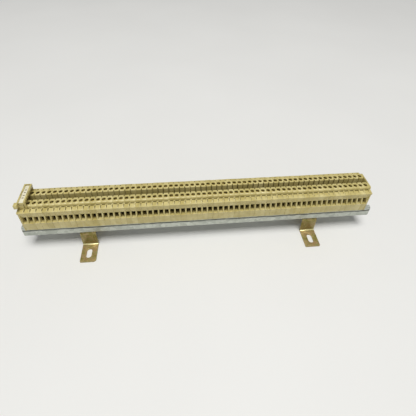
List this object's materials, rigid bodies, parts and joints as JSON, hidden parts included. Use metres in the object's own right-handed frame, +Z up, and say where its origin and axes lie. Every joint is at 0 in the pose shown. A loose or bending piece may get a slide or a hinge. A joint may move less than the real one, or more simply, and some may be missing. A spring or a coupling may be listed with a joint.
{
  "type": "rail-mounted terminal strip",
  "caption": "Row of beige feed-through screw terminals clipped on a galvanised G-section rail, raised on two slotted yellow-passivated brackets, with end plates and a label carrier.",
  "frame": {"origin": "middle of the rail's length and width, on the surface that the feet stand on", "axes": "+X along the rail towards the free end, -Y to the front, +Z up"},
  "size_m": [0.434, 0.088, 0.0793],
  "materials": {
    "beige_plastic": "moulded, satin, slightly uneven yellow-beige",
    "galvanised_steel": "dull galvanised with spangle",
    "yellow_passivated_steel": "zinc plated and yellow passivated, iridescent olive and gold",
    "zinc_plated_steel": "zinc plated",
    "tinned_copper": "tin plated copper alloy",
    "label_card": "white label"
  },
  "bodies": {
    "strip": {"mounting_rail": "galvanised_steel", "bracket_left": "yellow_passivated_steel", "bracket_right": "yellow_passivated_steel", "rail_screw_left": "zinc_plated_steel", "rail_screw_right": "zinc_plated_steel", "rail_nut_left": "zinc_plated_steel", "rail_nut_right": "zinc_plated_steel", "housing_bank_1": "beige_plastic", "housing_bank_2": "beige_plastic", "housing_bank_3": "beige_plastic", "housing_bank_4": "beige_plastic", "housing_bank_5": "beige_plastic", "housing_bank_6": "beige_plastic", "housing_61": "beige_plastic", "current_bar_61": "tinned_copper", "housing_62": "beige_plastic", "current_bar_62": "tinned_copper", "housing_63": "beige_plastic", "current_bar_63": "tinned_copper", "housing_64": "beige_plastic", "current_bar_64": "tinned_copper", "end_plate_left": "beige_plastic", "end_plate_right": "beige_plastic"},
    "label_carrier": {"label_carrier": "beige_plastic"},
    "label": {"label": "label_card"},
    "screw_61_front": {"screw_61_front": "zinc_plated_steel"},
    "cage_61_front": {"cage_61_front": "yellow_passivated_steel"},
    "screw_61_rear": {"screw_61_rear": "zinc_plated_steel"},
    "cage_61_rear": {"cage_61_rear": "yellow_passivated_steel"},
    "screw_62_front": {"screw_62_front": "zinc_plated_steel"},
    "cage_62_front": {"cage_62_front": "yellow_passivated_steel"},
    "screw_62_rear": {"screw_62_rear": "zinc_plated_steel"},
    "cage_62_rear": {"cage_62_rear": "yellow_passivated_steel"},
    "screw_63_front": {"screw_63_front": "zinc_plated_steel"},
    "cage_63_front": {"cage_63_front": "yellow_passivated_steel"},
    "screw_63_rear": {"screw_63_rear": "zinc_plated_steel"},
    "cage_63_rear": {"cage_63_rear": "yellow_passivated_steel"},
    "screw_64_front": {"screw_64_front": "zinc_plated_steel"},
    "cage_64_front": {"cage_64_front": "yellow_passivated_steel"},
    "screw_64_rear": {"screw_64_rear": "zinc_plated_steel"},
    "cage_64_rear": {"cage_64_rear": "yellow_passivated_steel"}
  },
  "joints": [
    {"name": "turn_screw_61_front", "type": "hinge", "parent": "strip", "child": "screw_61_front", "pos_m": [0.18265, -0.0085, 0.067], "axis": [0, 0, 1], "range_deg": [-3600, 0]},
    {"name": "lift_cage_61_front", "type": "slide", "parent": "strip", "child": "cage_61_front", "axis": [0, 0, 1], "range_m": [0, 0.005]},
    {"name": "turn_screw_61_rear", "type": "hinge", "parent": "strip", "child": "screw_61_rear", "pos_m": [0.18265, 0.0085, 0.067], "axis": [0, 0, 1], "range_deg": [-3600, 0]},
    {"name": "lift_cage_61_rear", "type": "slide", "parent": "strip", "child": "cage_61_rear", "axis": [0, 0, 1], "range_m": [0, 0.005]},
    {"name": "turn_screw_62_front", "type": "hinge", "parent": "strip", "child": "screw_62_front", "pos_m": [0.18915, -0.0085, 0.067], "axis": [0, 0, 1], "range_deg": [-3600, 0]},
    {"name": "lift_cage_62_front", "type": "slide", "parent": "strip", "child": "cage_62_front", "axis": [0, 0, 1], "range_m": [0, 0.005]},
    {"name": "turn_screw_62_rear", "type": "hinge", "parent": "strip", "child": "screw_62_rear", "pos_m": [0.18915, 0.0085, 0.067], "axis": [0, 0, 1], "range_deg": [-3600, 0]},
    {"name": "lift_cage_62_rear", "type": "slide", "parent": "strip", "child": "cage_62_rear", "axis": [0, 0, 1], "range_m": [0, 0.005]},
    {"name": "turn_screw_63_front", "type": "hinge", "parent": "strip", "child": "screw_63_front", "pos_m": [0.19565, -0.0085, 0.067], "axis": [0, 0, 1], "range_deg": [-3600, 0]},
    {"name": "lift_cage_63_front", "type": "slide", "parent": "strip", "child": "cage_63_front", "axis": [0, 0, 1], "range_m": [0, 0.005]},
    {"name": "turn_screw_63_rear", "type": "hinge", "parent": "strip", "child": "screw_63_rear", "pos_m": [0.19565, 0.0085, 0.067], "axis": [0, 0, 1], "range_deg": [-3600, 0]},
    {"name": "lift_cage_63_rear", "type": "slide", "parent": "strip", "child": "cage_63_rear", "axis": [0, 0, 1], "range_m": [0, 0.005]},
    {"name": "turn_screw_64_front", "type": "hinge", "parent": "strip", "child": "screw_64_front", "pos_m": [0.20215, -0.0085, 0.067], "axis": [0, 0, 1], "range_deg": [-3600, 0]},
    {"name": "lift_cage_64_front", "type": "slide", "parent": "strip", "child": "cage_64_front", "axis": [0, 0, 1], "range_m": [0, 0.005]},
    {"name": "turn_screw_64_rear", "type": "hinge", "parent": "strip", "child": "screw_64_rear", "pos_m": [0.20215, 0.0085, 0.067], "axis": [0, 0, 1], "range_deg": [-3600, 0]},
    {"name": "lift_cage_64_rear", "type": "slide", "parent": "strip", "child": "cage_64_rear", "axis": [0, 0, 1], "range_m": [0, 0.005]},
    {"name": "unclip_label_carrier", "type": "slide", "parent": "strip", "child": "label_carrier", "axis": [0, 0, 1], "range_m": [0, 0.009]},
    {"name": "slide_label", "type": "slide", "parent": "label_carrier", "child": "label", "axis": [0, -1, 0], "range_m": [0, 0.028]}
  ],
  "couplings": [
    {"joint": "turn_screw_61_front", "follows": "lift_cage_61_front", "rad_per_m": -12566},
    {"joint": "turn_screw_61_rear", "follows": "lift_cage_61_rear", "rad_per_m": -12566},
    {"joint": "turn_screw_62_front", "follows": "lift_cage_62_front", "rad_per_m": -12566},
    {"joint": "turn_screw_62_rear", "follows": "lift_cage_62_rear", "rad_per_m": -12566},
    {"joint": "turn_screw_63_front", "follows": "lift_cage_63_front", "rad_per_m": -12566},
    {"joint": "turn_screw_63_rear", "follows": "lift_cage_63_rear", "rad_per_m": -12566},
    {"joint": "turn_screw_64_front", "follows": "lift_cage_64_front", "rad_per_m": -12566},
    {"joint": "turn_screw_64_rear", "follows": "lift_cage_64_rear", "rad_per_m": -12566}
  ]
}
